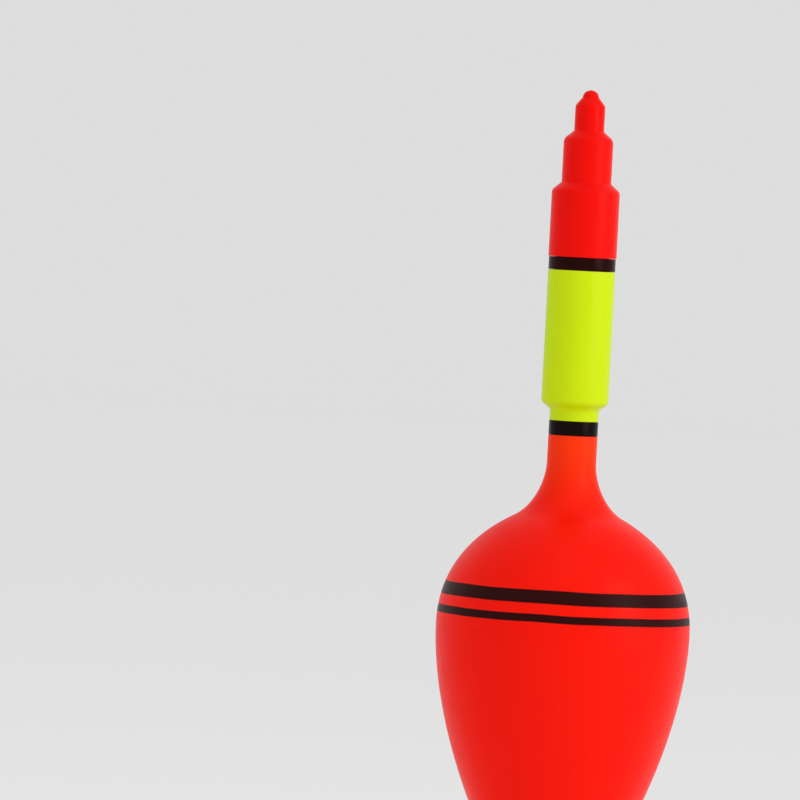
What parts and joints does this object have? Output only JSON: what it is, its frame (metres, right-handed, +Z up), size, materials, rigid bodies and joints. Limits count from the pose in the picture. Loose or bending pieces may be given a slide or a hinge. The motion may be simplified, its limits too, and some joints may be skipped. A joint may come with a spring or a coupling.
{
  "type": "bobber float",
  "caption": "Big-bellied fishing float with a stepped lamp tail under a pull-off tip cap, ballasted foot and a snap swivel for the line.",
  "frame": {"origin": "on the float's axis at the widest circle of the body, which is the waterline", "axes": "+Z up along the axis towards the tip, +X to the right in the front view, +Y away from the viewer"},
  "size_m": [0.04, 0.04, 0.1698],
  "materials": {
    "lacquer_red": "satin",
    "cap_red": "satin",
    "tail_yellow": "satin",
    "black_band": "satin",
    "seal_rubber": "matte",
    "silicone": "satin",
    "clear_plastic": "gloss",
    "ampoule_glass": "gloss",
    "foam": "matte",
    "glass_fibre": "satin",
    "brass": "satin",
    "swivel_brass": "satin",
    "steel_wire": "satin",
    "snap_steel": "satin"
  },
  "bodies": {
    "float_body": {"upper_shell": "lacquer_red", "lower_shell": "lacquer_red", "foam_core": "foam", "stem": "glass_fibre", "ballast": "brass", "foot_ferrule": "brass", "foot_eye": "steel_wire", "neck_ring": "black_band", "tail_tube": "tail_yellow", "top_ring": "black_band"},
    "tip": {"tip_cap": "cap_red", "cap_o_ring": "seal_rubber", "stick_sleeve": "silicone", "stick_tube": "clear_plastic", "stick_plug": "clear_plastic", "stick_ampoule": "ampoule_glass"},
    "upper_eye": {"swivel_upper_eye": "steel_wire"},
    "barrel": {"swivel_barrel": "swivel_brass"},
    "lower_eye": {"swivel_lower_eye": "steel_wire"},
    "clasp": {"snap_clasp": "snap_steel", "snap_pin": "snap_steel"},
    "gate": {"snap_wire": "snap_steel"}
  },
  "joints": [
    {"name": "cap_pull", "type": "slide", "parent": "float_body", "child": "tip", "axis": [0, 0, 1], "range_m": [0, 0.03]},
    {"name": "foot_swing", "type": "hinge", "parent": "float_body", "child": "upper_eye", "pos_m": [0, 0, -0.05615], "axis": [1, 0, 0], "range_deg": [-80, 80]},
    {"name": "barrel_spin", "type": "hinge", "parent": "upper_eye", "child": "barrel", "pos_m": [0, 0, -0.06248], "axis": [0, 0, 1], "continuous": true},
    {"name": "lower_eye_spin", "type": "hinge", "parent": "barrel", "child": "lower_eye", "pos_m": [0, 0, -0.06808], "axis": [0, 0, 1], "continuous": true},
    {"name": "snap_swing", "type": "hinge", "parent": "lower_eye", "child": "clasp", "pos_m": [0, 0, -0.06978], "axis": [1, 0, 0], "range_deg": [-80, 80]},
    {"name": "snap_open", "type": "hinge", "parent": "clasp", "child": "gate", "pos_m": [0, -0.0013, -0.07418], "axis": [-1, 0, 0], "range_deg": [0, 40], "stiffness_Nm_per_rad": 0.01, "springref_deg": -5.73}
  ]
}
